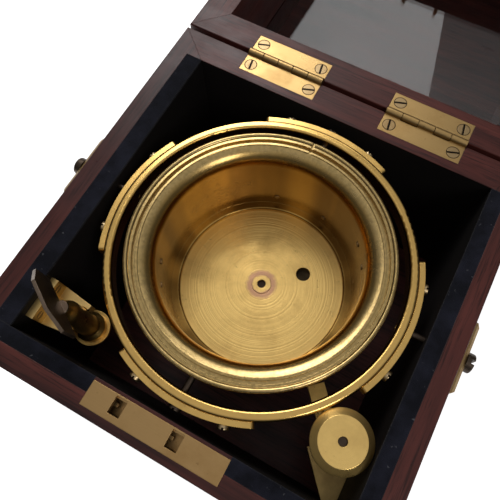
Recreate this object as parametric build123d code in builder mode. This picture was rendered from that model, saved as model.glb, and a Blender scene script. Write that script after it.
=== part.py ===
from build123d import *
from math import cos, radians, sin
import os

os.makedirs("parts", exist_ok=True)

# Clearances: between bodies that move past each other, and round a running pin
body_gap = 0.3
running_fit = 0.05

# How far a cut runs on past the face that it opens
cut_past = 1.0

# Lower case
case_width = 184.0
case_depth = 182.4
case_height = 108.0
base_thickness = 10.0
left_wall = 16.9
right_wall = 15.2
front_wall = 15.1
back_wall = 15.1
eased_edge = 0.6

# Velvet strips let into the top inner edges
velvet_thickness = 1.2
velvet_width_left = 8.2
velvet_width_right = 7.1
velvet_width_front = 6.7

# Glazed middle section and upper lid
section_height = 50.0
section_wall = 15.6
glass_thickness = 3.0
glass_from_top = 3.5
glass_seat = 4.0
glass_play = 0.4
bead_height = 3.0
lid_height = 32.0
lid_wall = 12.0
lid_panel_thickness = 9.0

# Knuckled butt hinges; the lid's have a slimmer barrel that lies nearer the wood
hinge_length = 40.4
hinge_1_middle = -35.75
hinge_2_middle = 38.75
case_knuckle_radius = 2.0
lid_knuckle_radius = 1.6
knuckle_count = 5
knuckle_gap = 0.3
hinge_pin_radius = 1.0
case_hinge_setback = 1.1
lid_hinge_setback = 0.2
leaf_reach = 11.6
leaf_thickness = 1.6
hinge_screw_inset = 4.2
hinge_screw_reach = 7.0

# Countersunk wood screws
wood_screw_head = 3.0
wood_screw_shank = 1.5
wood_screw_length = 10.0
screw_slot_width = 0.9
screw_slot_depth = 0.7
leaf_slot_turns = (20.0, 100.0)
small_screw_head = 2.0
small_screw_shank = 1.0
small_screw_length = 8.0

# Box lock in the front wall
lock_middle = -1.5
lock_plate_length = 61.6
lock_plate_width = 10.3
lock_plate_thickness = 2.5
lock_plate_from_inside = 1.3
lock_slot_length = 5.1
lock_slot_width = 7.0
lock_slot_spacing = 25.75
lock_slot_shift = -4.1
lock_slot_from_inside = 2.1
lock_case_length = 56.0
lock_case_width = 9.3
lock_case_height = 20.0
lock_case_wall = 1.2
bolt_travel = 4.0
bolt_thickness = 3.2
bolt_nose_width = 1.6
bolt_nose_height = 2.0
bolt_post_length = 3.2
bolt_post_reach = 5.0
keyhole_radius = 1.9
keyhole_slot_width = 1.6
keyhole_slot_length = 5.0
keyhole_below_plate = 13.0

# Link plate under the glazed section, with the two links that enter the lock
link_length = 2.5
link_width = 4.0
link_drop = 9.3
link_bar = 1.0
link_eye_width = 2.4
link_eye_height = 3.0
link_slot_turn = 40.0

# Gimbal ring, its plates and its pivots
pivot_drop = 6.4
ring_outer_radius = 68.65
ring_thickness = 4.3
ring_height = 8.6
ring_top_round = 1.4
ring_bottom_round = 0.8
ring_plate_thickness = 2.45
ring_plate_angle = 52.5
ring_plate_height = 6.6
ring_plate_round = 1.6
ring_screw_angle = 16.5
ring_screw_head = 2.5
ring_screw_head_height = 1.9
ring_screw_shank = 1.3
pivot_radius = 1.55
ring_pivot_bite = 3.4
ring_pivot_head_radius = 4.2
ring_pivot_head_height = 3.4
ring_pivot_slot = 1.8
bowl_pivot_head_radius = 2.8
bowl_pivot_head_height = 1.7
bowl_pivot_bite = 6.0
pivot_plate_length = 31.4
pivot_plate_height = 9.6
pivot_plate_thickness = 2.4
pivot_plate_chamfer = 1.4
pivot_plate_screw_spacing = 22.0
plate_slot_turn = 30.0
ring_pivot_slot_turns = (0.0, 90.0)

# Bowl: radii first, then heights measured down from the top of the case
bowl_inner_radius = 46.0
bowl_wall = 2.2
bowl_edge_chamfer = 2.0
bowl_rim_radius = 58.4
rim_bead = 2.2
rim_land = 1.2
rim_groove = 1.5
rim_ridge = 1.1
rim_rise = 3.1
rim_depth = 3.7
rim_land_drop = 0.8
rim_groove_depth = 1.8
rim_ridge_drop = 1.1
flare_inner_drop = 6.0
flare_inner_top_drop = 1.6
flare_outer_drop = 9.0
flare_outer_width = 7.0
bowl_floor_drop = 47.2
bowl_floor_thickness = 2.4
bowl_ledge_width = 4.3
bowl_ledge_height = 2.6
bowl_ledge_round = 1.0
floor_seat_width = 2.1
bowl_boss_radius = 3.7
bowl_boss_inset = 1.0
rim_notch_width = 1.2
rim_notch_depth = 1.5
rim_notch_angle = 93.0
floor_boss_radius = 5.0
floor_boss_height = 0.5
winding_hole_radius = 3.65
winding_hole_reach = 22.3
winding_hole_angle = 42.0
bowl_screw_radius = 1.3
bowl_screw_stand = 0.4
bowl_screw_upper_drop = 16.5
bowl_screw_lower_drop = 37.5
bowl_screw_upper_angles = (27.0, 41.0, 206.0, 220.0)
bowl_screw_lower_angles = (74.0, 108.0)

# Dust shutter under the bowl, with its stud and spring
shutter_radius = 27.0
shutter_thickness = 1.2
shutter_hole_radius = 4.2
shutter_travel = 60.0
shutter_tab_reach = 4.0
shutter_tab_width = 8.0
shutter_tab_drop = 4.0
stud_thread_radius = 2.2
stud_shoulder_radius = 3.1
stud_head_radius = 9.0
stud_head_height = 1.6
stud_top_sink = 0.8
spring_height = 1.0
spring_strip = 0.6
spring_inner_radius = 4.0
spring_pitch = 1.3
spring_turns = 3

# Gimbal lock in the front right corner
lock_axis_from_right = 13.4
lock_axis_from_front = 24.4
knob_top_drop = 1.5
knob_radius = 12.6
knob_flat_radius = 9.7
knob_bevel = 2.2
knob_thickness = 4.2
knob_hub_radius = 6.0
knob_hub_height = 3.0
spindle_radius = 3.5
spindle_spigot_radius = 1.9
spindle_spigot_sink = 0.9
arm_top_drop = 37.0
arm_thickness = 4.0
arm_width = 8.0
arm_hub_radius = 6.0
arm_reach = 25.2
arm_angle = 132.08
arm_boss_radius = 2.4
arm_boss_height = 3.6
arm_boss_along = 12.9
arm_boss_aside = 1.6
shelf_top_drop = 43.0
shelf_thickness = 3.0
shelf_nose_radius = 7.0
shelf_half_width = 10.8
shelf_flange_height = 14.0
shelf_flange_thickness = 2.5
shelf_screw_spacing = 16.0
spindle_nut_radius = 5.2
spindle_nut_height = 3.0
spindle_thread_end = 1.0

# Winding key and its holder in the front left corner
key_from_left = 16.25
key_from_front = 15.74
key_grip_angle = -31.2
key_grip_width = 28.3
key_grip_top_rise = 25.1
key_grip_height = 20.7
key_grip_thickness = 1.4
key_grip_clip_width = 7.8
key_grip_clip_height = 8.0
key_neck_radius = 3.0
key_neck_drop = 0.6
key_barrel_radius = 5.2
key_barrel_top_drop = 4.0
key_flare_radius = 7.0
key_flare_drop = 31.5
key_flange_radius = 8.6
key_flange_top_drop = 34.5
key_flange_thickness = 1.6
key_stem_radius = 2.5
key_stem_length = 14.0
key_square = 2.4
key_square_depth = 8.0
jaw_gap = 0.4
jaw_thickness = 2.2
jaw_height = 6.0
jaw_top_drop = 15.0
jaw_opening_angle = 150.0
holder_plate_thickness = 3.5
holder_plate_width = 18.9
holder_plate_top_drop = 5.5
holder_plate_height = 16.5
holder_window_width = 2.6
holder_window_length = 7.5
holder_screw_spacing = 13.0
holder_screw_drop = 9.5

# Places that several pieces share
inner_left = -case_width / 2 + left_wall
inner_right = case_width / 2 - right_wall
inner_front = -case_depth / 2 + front_wall
inner_back = case_depth / 2 - back_wall
pivot_level = case_height - pivot_drop
hinge_axis_y = case_depth / 2 + case_hinge_setback
hinge_axis_z = case_height + body_gap / 2
section_bottom = case_height + body_gap
section_top = section_bottom + section_height
lid_bottom = section_top + body_gap
lid_axis_z = section_top + body_gap / 2
lid_axis_open_y = 2 * hinge_axis_y - case_depth / 2 - lid_hinge_setback
lid_axis_open_z = 2 * hinge_axis_z - lid_axis_z
knuckle_length = (hinge_length - (knuckle_count - 1) * knuckle_gap) / knuckle_count
knuckle_step = knuckle_length + knuckle_gap
knuckle_bore = hinge_pin_radius + running_fit
ring_inner_radius = ring_outer_radius - ring_thickness
ring_plate_radius = ring_outer_radius + ring_plate_thickness
bowl_outer_radius = bowl_inner_radius + bowl_wall
bowl_floor_top = case_height - bowl_floor_drop
bowl_bottom = bowl_floor_top - bowl_floor_thickness
boss_face_radius = bowl_rim_radius - bowl_boss_inset

# The glazed section and the lid are described as they stand closed on the case.
# This plane turns that closed place over the hinge into the open one.
opened = Plane(
    origin=(0, 2 * hinge_axis_y, 2 * hinge_axis_z), x_dir=(1, 0, 0), z_dir=(0, 0, -1)
)

case_outline = [
    (-case_width / 2, -case_depth / 2),
    (case_width / 2, -case_depth / 2),
    (case_width / 2, case_depth / 2),
    (-case_width / 2, case_depth / 2),
]
case_inside = [
    (inner_left, inner_front),
    (inner_right, inner_front),
    (inner_right, inner_back),
    (inner_left, inner_back),
]
FRONT, RIGHT, BACK, LEFT = range(4)


def inset(outline, distance):
    """The corners of a rectangle about the origin, moved inwards."""
    return [
        (x - distance if x > 0 else x + distance, y - distance if y > 0 else y + distance)
        for x, y in outline
    ]


def mitred_board(outside, inside, side, plane, height, eased_ends):
    """One side of a box with mitred ends; eased_ends lists the levels with a rounded edge."""
    after = (side + 1) % 4
    with BuildPart() as board:
        with BuildSketch(plane):
            with BuildLine():
                Polyline(outside[side], outside[after], inside[after], inside[side], close=True)
            make_face()
        extrude(amount=height)
        middle_x = (outside[side][0] + outside[after][0]) / 2
        middle_y = (outside[side][1] + outside[after][1]) / 2
        for level in eased_ends:
            corner = plane.from_local_coords(Vector(middle_x, middle_y, level))
            fillet(board.edges().sort_by_distance(corner)[0], eased_edge)
    return board.part


def countersunk_screw(head, shank, length):
    """A slotted wood screw: head face at the origin, point down."""
    with BuildPart() as screw:
        with BuildSketch(Plane.XZ):
            with BuildLine():
                Polyline(
                    (0, 0),
                    (head, 0),
                    (shank, shank - head),
                    (shank, 2 * shank - length),
                    (0, -length),
                    close=True,
                )
            make_face()
        revolve(axis=Axis.Z)
        with BuildSketch():
            Rectangle(3 * head, screw_slot_width)
        extrude(amount=-screw_slot_depth, mode=Mode.SUBTRACT)
    return screw.part


def cheese_screw(head, head_height, shank, length, slot):
    """A slotted cheese-head screw: head seated on the origin, shank down."""
    with BuildPart() as screw:
        Cylinder(head, head_height, align=(Align.CENTER, Align.CENTER, Align.MIN))
        fillet(screw.edges().group_by(Axis.Z)[-1], head_height / 4)
        Cylinder(shank, length, align=(Align.CENTER, Align.CENTER, Align.MAX))
        with BuildSketch(Plane.XY.offset(head_height)):
            Rectangle(3 * head, slot)
        extrude(amount=-head_height / 2, mode=Mode.SUBTRACT)
    return screw.part


def outward(angle, radius, level):
    """A place on a cylinder about the Z axis, with its own z pointing outwards."""
    direction = (cos(radians(angle)), sin(radians(angle)), 0)
    origin = (radius * direction[0], radius * direction[1], level)
    return Plane(origin=origin, x_dir=(0, 0, 1), z_dir=direction).location


wood_screw = countersunk_screw(wood_screw_head, wood_screw_shank, wood_screw_length)
small_screw = countersunk_screw(small_screw_head, small_screw_shank, small_screw_length)

# A hinge stands in its own frame: X along the pin, Y to the leaf's free edge, Z out of the leaf
leaf_face = -body_gap / 2


def knuckle_places(first):
    """Middles of every other knuckle, each turned so that a cylinder lies along X."""
    start = -hinge_length / 2 + knuckle_length / 2
    return [
        Location((start + index * knuckle_step, 0, 0), (0, 90, 0))
        for index in range(first, knuckle_count, 2)
    ]


def hinge_leaf(first, other, knuckle_radius):
    """A leaf that carries every other knuckle from the first, notched for the other leaf's."""
    with BuildPart() as leaf:
        with BuildSketch(Plane.XY.offset(leaf_face - leaf_thickness)):
            Rectangle(hinge_length, leaf_reach, align=(Align.CENTER, Align.MIN))
        extrude(amount=leaf_thickness)
        with Locations(*knuckle_places(first)):
            Cylinder(knuckle_radius, knuckle_length)
        with Locations(*knuckle_places(other)):
            Cylinder(
                knuckle_radius + body_gap, knuckle_length + 2 * knuckle_gap, mode=Mode.SUBTRACT
            )
        with Locations(Location((0, 0, 0), (0, 90, 0))):
            Cylinder(knuckle_bore, hinge_length, mode=Mode.SUBTRACT)
        with Locations(*leaf_screw_places):
            add(wood_screw, mode=Mode.SUBTRACT)
    return leaf.part


def hinge_places(axis_y, level, facing_up, towards_back):
    """The two hinges of one joint line, as places in the finished object."""
    flip = 1 if facing_up == towards_back else -1
    return [
        Plane(
            origin=(middle, axis_y, level),
            x_dir=(flip, 0, 0),
            z_dir=(0, 0, 1 if facing_up else -1),
        ).location
        for middle in (hinge_1_middle, hinge_2_middle)
    ]


leaf_screw_places = [
    Location((x, hinge_screw_reach, leaf_face), (0, 0, turn))
    for x, turn in (
        (-hinge_length / 2 + hinge_screw_inset, leaf_slot_turns[0]),
        (hinge_length / 2 - hinge_screw_inset, leaf_slot_turns[1]),
    )
]
case_hinges = hinge_places(hinge_axis_y, hinge_axis_z, True, False)
section_case_hinges = hinge_places(hinge_axis_y, hinge_axis_z, True, True)
section_lid_hinges = hinge_places(lid_axis_open_y, lid_axis_open_z, False, True)
lid_hinges = hinge_places(lid_axis_open_y, lid_axis_open_z, True, True)


def hinge_relief(places, board, knuckle_radius):
    """Cuts the round channels for the knuckles out of a board."""
    with BuildPart() as relieved:
        add(board)
        with Locations(*[place * Location((0, 0, 0), (0, 90, 0)) for place in places]):
            Cylinder(
                knuckle_radius + body_gap, hinge_length + 2 * body_gap, mode=Mode.SUBTRACT
            )
    return relieved.part


case_wide_leaf = hinge_leaf(0, 1, case_knuckle_radius)
case_narrow_leaf = hinge_leaf(1, 0, case_knuckle_radius)
lid_wide_leaf = hinge_leaf(0, 1, lid_knuckle_radius)
lid_narrow_leaf = hinge_leaf(1, 0, lid_knuckle_radius)

# Hinges of the case
with BuildPart() as case_hinge_leaves:
    with Locations(*case_hinges):
        add(case_wide_leaf)
case_hinge_leaves.part.label = "case_hinge_leaves"
export_step(case_hinge_leaves.part, "parts/case_hinge_leaves.step")

with BuildPart() as case_hinge_pins:
    with Locations(*[place * Location((0, 0, 0), (0, 90, 0)) for place in case_hinges]):
        Cylinder(hinge_pin_radius, hinge_length)
case_hinge_pins.part.label = "case_hinge_pins"
export_step(case_hinge_pins.part, "parts/case_hinge_pins.step")

with BuildPart() as case_hinge_screws:
    with Locations(*[place * spot for place in case_hinges for spot in leaf_screw_places]):
        add(wood_screw)
case_hinge_screws.part.label = "case_hinge_screws"
export_step(case_hinge_screws.part, "parts/case_hinge_screws.step")

# Lock: the plate and the case below it are let into the front wall
lock_plate_y = inner_front - lock_plate_from_inside - lock_plate_width / 2
lock_slot_y = inner_front - lock_slot_from_inside - lock_slot_width / 2
lock_slot_places = [
    (lock_middle + lock_slot_shift + side * lock_slot_spacing / 2, lock_slot_y)
    for side in (-1, 1)
]
lock_case_top = case_height - lock_plate_thickness
link_tip = section_bottom - link_drop
bolt_top = link_tip - body_gap
bolt_width = lock_case_width - 2 * lock_case_wall - 2 * body_gap
nose_middle = link_tip + link_bar + link_eye_height / 2
keyhole_level = lock_case_top - keyhole_below_plate

with BuildPart() as lock_plate:
    with BuildSketch(Plane.XY.offset(lock_case_top)):
        with Locations((lock_middle, lock_plate_y)):
            Rectangle(lock_plate_length, lock_plate_width)
        with Locations(*lock_slot_places):
            Rectangle(lock_slot_length, lock_slot_width, mode=Mode.SUBTRACT)
    extrude(amount=lock_plate_thickness)
lock_plate.part.label = "lock_plate"
export_step(lock_plate.part, "parts/lock_plate.step")

with BuildPart() as keyhole:
    with BuildSketch(Plane.XZ.offset(-inner_front)):
        with Locations((lock_middle, keyhole_level)):
            Circle(keyhole_radius)
        with Locations((lock_middle, keyhole_level)):
            Rectangle(
                keyhole_slot_width, keyhole_slot_length, align=(Align.CENTER, Align.MAX)
            )
    extrude(amount=front_wall + cut_past)

with BuildPart() as lock_case:
    with BuildSketch(Plane.XY.offset(lock_case_top)):
        with Locations((lock_middle, lock_plate_y)):
            Rectangle(lock_case_length, lock_case_width)
    extrude(amount=-lock_case_height)
    with BuildSketch(Plane.XY.offset(lock_case_top)):
        with Locations((lock_middle, lock_plate_y)):
            Rectangle(lock_case_length - 2 * lock_case_wall, lock_case_width - 2 * lock_case_wall)
    extrude(amount=lock_case_wall - lock_case_height, mode=Mode.SUBTRACT)
    add(keyhole.part, mode=Mode.SUBTRACT)
    back_web = lock_plate_y + lock_case_width / 2 - lock_case_wall / 2
    with Locations((lock_middle, back_web, lock_case_top - lock_case_height / 2)):
        Box(lock_case_length, lock_case_wall, lock_case_height)
lock_case.part.label = "lock_case"
export_step(lock_case.part, "parts/lock_case.step")

bolt_left = lock_middle - lock_case_length / 2 + lock_case_wall + body_gap
bolt_right = lock_middle + lock_case_length / 2 - lock_case_wall - body_gap - bolt_travel
with BuildPart() as lock_bolt:
    with BuildSketch(Plane.XY.offset(bolt_top)):
        with Locations(((bolt_left + bolt_right) / 2, lock_plate_y)):
            Rectangle(bolt_right - bolt_left, bolt_width)
    extrude(amount=-bolt_thickness)
    for slot_x, slot_y in lock_slot_places:
        nose_tip = slot_x - link_length / 2 - body_gap
        nose_root = nose_tip - bolt_post_reach
        with BuildSketch(Plane.XZ.offset(-slot_y)):
            with Locations((nose_root, bolt_top)):
                Rectangle(
                    bolt_post_length,
                    nose_middle + bolt_nose_height / 2 - bolt_top,
                    align=(Align.MAX, Align.MIN),
                )
            with Locations((nose_root, nose_middle)):
                Rectangle(nose_tip - nose_root, bolt_nose_height, align=(Align.MIN, Align.CENTER))
        extrude(amount=bolt_nose_width / 2, both=True)
lock_bolt.part.label = "lock_bolt"
export_step(lock_bolt.part, "parts/lock_bolt.step")

# Velvet strips, flush with the top edges
velvet_bottom = case_height - velvet_thickness
velvet_length = inner_back - inner_front
plate_left = lock_middle - lock_plate_length / 2
plate_right = lock_middle + lock_plate_length / 2

with BuildPart() as velvet_left:
    with BuildSketch(Plane.XY.offset(velvet_bottom)):
        with Locations((inner_left, inner_front)):
            Rectangle(velvet_width_left, velvet_length, align=(Align.MAX, Align.MIN))
    extrude(amount=velvet_thickness)
velvet_left.part.label = "velvet_left"
export_step(velvet_left.part, "parts/velvet_left.step")

with BuildPart() as velvet_right:
    with BuildSketch(Plane.XY.offset(velvet_bottom)):
        with Locations((inner_right, inner_front)):
            Rectangle(velvet_width_right, velvet_length, align=(Align.MIN, Align.MIN))
    extrude(amount=velvet_thickness)
velvet_right.part.label = "velvet_right"
export_step(velvet_right.part, "parts/velvet_right.step")

front_velvet_left = inner_left - velvet_width_left
front_velvet_right = inner_right + velvet_width_right
with BuildPart() as velvet_front:
    with BuildSketch(Plane.XY.offset(velvet_bottom)):
        with Locations((front_velvet_left, inner_front)):
            Rectangle(
                plate_left - front_velvet_left, velvet_width_front, align=(Align.MIN, Align.MAX)
            )
        with Locations((plate_right, inner_front)):
            Rectangle(
                front_velvet_right - plate_right, velvet_width_front, align=(Align.MIN, Align.MAX)
            )
    extrude(amount=velvet_thickness)
velvet_front.part.label = "velvet_front"
export_step(velvet_front.part, "parts/velvet_front.step")

# Ring pivots: screws through the side walls, each in a brass plate on the outer face
side_faces = [
    Plane(origin=(side * case_width / 2, 0, pivot_level), x_dir=(0, side, 0), z_dir=(side, 0, 0))
    for side in (-1, 1)
]
ring_pivot_length = case_width / 2 + pivot_plate_thickness - ring_plate_radius + ring_pivot_bite
side_plate_top = [face.offset(pivot_plate_thickness) for face in side_faces]
ring_pivot = cheese_screw(
    ring_pivot_head_radius,
    ring_pivot_head_height,
    pivot_radius,
    ring_pivot_length,
    ring_pivot_slot,
)

with BuildPart() as ring_pivots:
    with Locations(
        *[
            face.location * Location((0, 0, 0), (0, 0, turn))
            for face, turn in zip(side_plate_top, ring_pivot_slot_turns)
        ]
    ):
        add(ring_pivot)
ring_pivots.part.label = "ring_pivots"
export_step(ring_pivots.part, "parts/ring_pivots.step")

plate_screw_places = [
    face.location * Location((x, 0, 0), (0, 0, plate_slot_turn))
    for face in side_plate_top
    for x in (-pivot_plate_screw_spacing / 2, pivot_plate_screw_spacing / 2)
]
with BuildPart() as pivot_plate_screws:
    with Locations(*plate_screw_places):
        add(small_screw)
pivot_plate_screws.part.label = "pivot_plate_screws"
export_step(pivot_plate_screws.part, "parts/pivot_plate_screws.step")

with BuildPart() as pivot_plates:
    with BuildSketch(*side_faces):
        Rectangle(pivot_plate_length, pivot_plate_height)
    extrude(amount=pivot_plate_thickness)
    outer_edges = pivot_plates.edges().group_by(Axis.X)
    chamfer(outer_edges[0] + outer_edges[-1], pivot_plate_chamfer)
    add(ring_pivots.part, mode=Mode.SUBTRACT)
    add(pivot_plate_screws.part, mode=Mode.SUBTRACT)
pivot_plates.part.label = "pivot_plates"
export_step(pivot_plates.part, "parts/pivot_plates.step")

# Gimbal ring
bore_middle = (ring_inner_radius + ring_plate_radius) / 2
with BuildPart() as ring_pivot_bores:
    with Locations(*[outward(angle, bore_middle, pivot_level) for angle in (0, 180)]):
        Cylinder(pivot_radius + running_fit, 2 * (ring_plate_radius - ring_inner_radius))

ring_screw = cheese_screw(
    ring_screw_head,
    ring_screw_head_height,
    ring_screw_shank,
    ring_plate_thickness + ring_thickness - ring_top_round,
    screw_slot_width,
)
with BuildPart() as ring_plate_screws:
    with Locations(
        *[
            outward(quarter + side * ring_screw_angle, ring_plate_radius, pivot_level)
            for quarter in (0, 90, 180, 270)
            for side in (-1, 1)
        ]
    ):
        add(ring_screw)
ring_plate_screws.part.label = "ring_plate_screws"
export_step(ring_plate_screws.part, "parts/ring_plate_screws.step")

bowl_pivot = cheese_screw(
    bowl_pivot_head_radius,
    bowl_pivot_head_height,
    pivot_radius,
    ring_plate_radius - boss_face_radius + bowl_pivot_bite,
    screw_slot_width,
)
with BuildPart() as bowl_pivots:
    with Locations(*[outward(angle, ring_plate_radius, pivot_level) for angle in (90, 270)]):
        add(bowl_pivot)
bowl_pivots.part.label = "bowl_pivots"
export_step(bowl_pivots.part, "parts/bowl_pivots.step")

with BuildPart() as ring_plates:
    with BuildSketch(Plane.XY.offset(pivot_level - ring_plate_height / 2)):
        with BuildLine():
            outer_arc = CenterArc((0, 0), ring_plate_radius, -ring_plate_angle / 2, ring_plate_angle)
            inner_arc = CenterArc((0, 0), ring_outer_radius, -ring_plate_angle / 2, ring_plate_angle)
            Line(outer_arc @ 0, inner_arc @ 0)
            Line(outer_arc @ 1, inner_arc @ 1)
        make_face()
    extrude(amount=ring_plate_height)
    end_edges = ring_plates.edges().filter_by(GeomType.LINE).filter_by(Axis.Z, reverse=True)
    fillet(end_edges, ring_plate_round)
    first_plate = ring_plates.part
    with Locations(*[Location((0, 0, 0), (0, 0, turn)) for turn in (90, 180, 270)]):
        add(first_plate)
    add(ring_pivot_bores.part, mode=Mode.SUBTRACT)
    add(ring_plate_screws.part, mode=Mode.SUBTRACT)
    add(bowl_pivots.part, mode=Mode.SUBTRACT)
ring_plates.part.label = "ring_plates"
export_step(ring_plates.part, "parts/ring_plates.step")

with BuildPart() as gimbal_ring:
    with BuildSketch(Plane.XZ):
        with Locations(((ring_inner_radius + ring_outer_radius) / 2, pivot_level)):
            Rectangle(ring_thickness, ring_height)
    revolve(axis=Axis.Z)
    fillet(gimbal_ring.edges().group_by(Axis.Z)[-1], ring_top_round)
    fillet(gimbal_ring.edges().group_by(Axis.Z)[0], ring_bottom_round)
    add(ring_pivot_bores.part, mode=Mode.SUBTRACT)
    add(ring_plate_screws.part, mode=Mode.SUBTRACT)
    add(bowl_pivots.part, mode=Mode.SUBTRACT)
gimbal_ring.part.label = "gimbal_ring"
export_step(gimbal_ring.part, "parts/gimbal_ring.step")

# Bowl: one turned profile, from the ledge up the inside, over the rim and down the outside
rim_top = case_height + rim_rise
rim_bottom = rim_top - rim_depth
land_level = rim_top - rim_land_drop
ridge_level = rim_top - rim_ridge_drop
groove_level = land_level - rim_groove_depth
bead_inner = bowl_rim_radius - rim_bead
land_inner = bead_inner - rim_land
groove_inner = land_inner - rim_groove
ridge_inner = groove_inner - rim_ridge
ledge_radius = bowl_inner_radius - bowl_ledge_width
ledge_top = bowl_floor_top + bowl_ledge_height
floor_radius = bowl_inner_radius - floor_seat_width
bead_half = rim_bead / 2

with BuildPart() as bowl:
    with BuildSketch(Plane.XZ):
        with BuildLine():
            Polyline(
                (floor_radius, bowl_bottom),
                (floor_radius, bowl_floor_top),
                (ledge_radius, bowl_floor_top),
                (ledge_radius, ledge_top - bowl_ledge_round),
            )
            RadiusArc(
                (ledge_radius, ledge_top - bowl_ledge_round),
                (ledge_radius + bowl_ledge_round, ledge_top),
                bowl_ledge_round,
            )
            Polyline(
                (ledge_radius + bowl_ledge_round, ledge_top),
                (bowl_inner_radius, ledge_top),
                (bowl_inner_radius, case_height - flare_inner_drop),
            )
            TangentArc(
                (bowl_inner_radius, case_height - flare_inner_drop),
                (ridge_inner, rim_top - flare_inner_top_drop),
                tangent=(0, 1),
            )
            Polyline(
                (ridge_inner, rim_top - flare_inner_top_drop),
                (ridge_inner, ridge_level),
                (groove_inner, ridge_level),
                (groove_inner, groove_level),
                (land_inner, groove_level),
                (land_inner, land_level),
                (bead_inner, land_level),
                (bead_inner, rim_top - bead_half),
            )
            ThreePointArc(
                (bead_inner, rim_top - bead_half),
                (bowl_rim_radius - bead_half, rim_top),
                (bowl_rim_radius, rim_top - bead_half),
            )
            Polyline(
                (bowl_rim_radius, rim_top - bead_half),
                (bowl_rim_radius, rim_bottom),
                (bowl_outer_radius + flare_outer_width, rim_bottom),
            )
            TangentArc(
                (bowl_outer_radius, case_height - flare_outer_drop),
                (bowl_outer_radius + flare_outer_width, rim_bottom),
                tangent=(0, 1),
            )
            Polyline(
                (bowl_outer_radius, case_height - flare_outer_drop),
                (bowl_outer_radius, bowl_bottom + bowl_edge_chamfer),
                (bowl_outer_radius - bowl_edge_chamfer, bowl_bottom),
                (floor_radius, bowl_bottom),
            )
        make_face()
    revolve(axis=Axis.Z)
    for angle in (90, 270):
        with BuildSketch(Plane(outward(angle, boss_face_radius, pivot_level))):
            Circle(bowl_boss_radius)
        extrude(amount=bowl_outer_radius - bowl_wall / 2 - boss_face_radius)
    pivot_bore_bottom = boss_face_radius - bowl_pivot_bite - body_gap
    for angle in (90, 270):
        with BuildSketch(Plane(outward(angle, boss_face_radius, pivot_level))):
            Circle(pivot_radius + running_fit)
        extrude(amount=pivot_bore_bottom - boss_face_radius, mode=Mode.SUBTRACT)
    with BuildSketch(Plane.XY.offset(rim_top)):
        with PolarLocations((ridge_inner + bowl_rim_radius) / 2, 1, rim_notch_angle):
            Rectangle(2 * (bowl_rim_radius - ridge_inner), rim_notch_width)
    extrude(amount=-rim_notch_depth, mode=Mode.SUBTRACT)

bowl_screw_places = [
    *[(angle, bowl_screw_upper_drop) for angle in bowl_screw_upper_angles],
    *[(angle, bowl_screw_lower_drop) for angle in bowl_screw_lower_angles],
]
with BuildPart() as bowl_screws:
    with Locations(
        *[
            outward(angle, bowl_outer_radius, case_height - drop)
            for angle, drop in bowl_screw_places
        ]
    ):
        Cylinder(
            bowl_screw_radius,
            bowl_wall + bowl_screw_stand,
            align=(Align.CENTER, Align.CENTER, Align.MAX),
        )
bowl_screws.part.label = "bowl_screws"
export_step(bowl_screws.part, "parts/bowl_screws.step")

with BuildPart() as bowl_body:
    add(bowl.part)
    add(bowl_screws.part, mode=Mode.SUBTRACT)
bowl_body.part.label = "bowl_body"
export_step(bowl_body.part, "parts/bowl_body.step")

with BuildPart() as bowl_floor:
    with BuildSketch(Plane.XY.offset(bowl_bottom)):
        Circle(floor_radius)
    extrude(amount=bowl_floor_thickness)
    with BuildSketch(Plane.XY.offset(bowl_floor_top)):
        Circle(floor_boss_radius)
    extrude(amount=floor_boss_height)
    with BuildSketch(Plane.XY.offset(bowl_bottom)):
        Circle(stud_thread_radius)
        with PolarLocations(winding_hole_reach, 1, winding_hole_angle):
            Circle(winding_hole_radius)
    extrude(amount=bowl_floor_thickness + floor_boss_height, mode=Mode.SUBTRACT)
bowl_floor.part.label = "bowl_floor"
export_step(bowl_floor.part, "parts/bowl_floor.step")

# Dust shutter
shutter_top = bowl_bottom - body_gap
shutter_bottom = shutter_top - shutter_thickness
spring_bottom = shutter_bottom - spring_height
stud_head_top = spring_bottom - body_gap
shutter_hole_angle = winding_hole_angle - shutter_travel
tab_angle = shutter_hole_angle + 180

with BuildPart() as dust_shutter:
    with BuildSketch(Plane.XY.offset(shutter_bottom)):
        Circle(shutter_radius)
        with PolarLocations(shutter_radius, 1, tab_angle):
            Rectangle(2 * shutter_tab_reach, shutter_tab_width)
        Circle(stud_shoulder_radius + running_fit, mode=Mode.SUBTRACT)
        with PolarLocations(winding_hole_reach, 1, shutter_hole_angle):
            Circle(shutter_hole_radius, mode=Mode.SUBTRACT)
    extrude(amount=shutter_thickness)
    with BuildSketch(Plane.XY.offset(shutter_bottom)):
        with PolarLocations(
            shutter_radius + shutter_tab_reach - shutter_thickness / 2, 1, tab_angle
        ):
            Rectangle(shutter_thickness, shutter_tab_width)
    extrude(amount=-shutter_tab_drop)
dust_shutter.part.label = "dust_shutter"
export_step(dust_shutter.part, "parts/dust_shutter.step")

with BuildPart() as shutter_stud:
    with BuildSketch(Plane.XZ):
        with BuildLine():
            Polyline(
                (0, stud_head_top - stud_head_height),
                (stud_head_radius, stud_head_top - stud_head_height),
                (stud_head_radius, stud_head_top),
                (stud_shoulder_radius, stud_head_top),
                (stud_shoulder_radius, bowl_bottom),
                (stud_thread_radius, bowl_bottom),
                (stud_thread_radius, bowl_floor_top - stud_top_sink),
                (0, bowl_floor_top - stud_top_sink),
                close=True,
            )
        make_face()
    revolve(axis=Axis.Z)
    with BuildSketch(Plane.XY.offset(stud_head_top - stud_head_height)):
        Rectangle(3 * stud_head_radius, screw_slot_width)
    extrude(amount=screw_slot_depth, mode=Mode.SUBTRACT)
shutter_stud.part.label = "shutter_stud"
export_step(shutter_stud.part, "parts/shutter_stud.step")

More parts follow.
